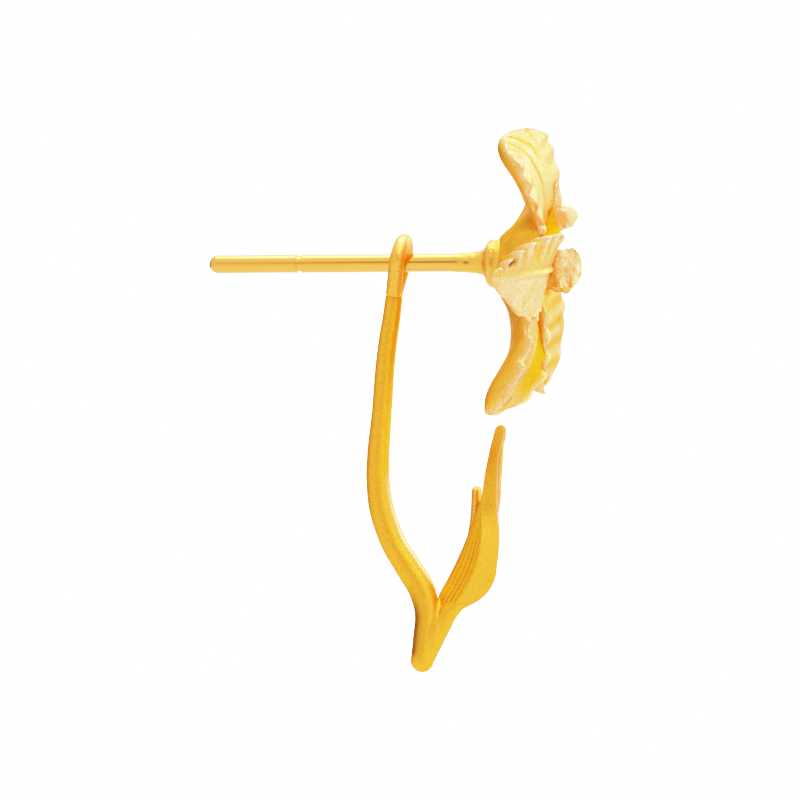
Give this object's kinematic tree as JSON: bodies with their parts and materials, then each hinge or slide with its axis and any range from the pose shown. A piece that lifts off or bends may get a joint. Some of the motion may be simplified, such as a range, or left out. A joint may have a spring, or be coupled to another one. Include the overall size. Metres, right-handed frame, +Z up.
{
  "type": "flower earring with a leaf drop",
  "caption": "Flower stud for a pierced ear, with a straight grooved post and a curved stem with leaves that swings on the post behind the lobe.",
  "frame": {"origin": "on the post axis, in the middle of the ear lobe that the post goes through", "axes": "+X along the post to the front of the flower, +Z up as worn, -Y is the side shown in the picture"},
  "size_m": [0.0191, 0.0129, 0.0271],
  "materials": {
    "satin_gold": "satin, with a polished post",
    "drop_gold": "satin"
  },
  "bodies": {
    "stud": {"flower_stud": "satin_gold"},
    "drop": {"leaf_drop": "drop_gold"}
  },
  "joints": [
    {"name": "drop_swing", "type": "hinge", "parent": "stud", "child": "drop", "pos_m": [-0.0023, 0, 0], "axis": [1, 0, 0], "continuous": true}
  ]
}
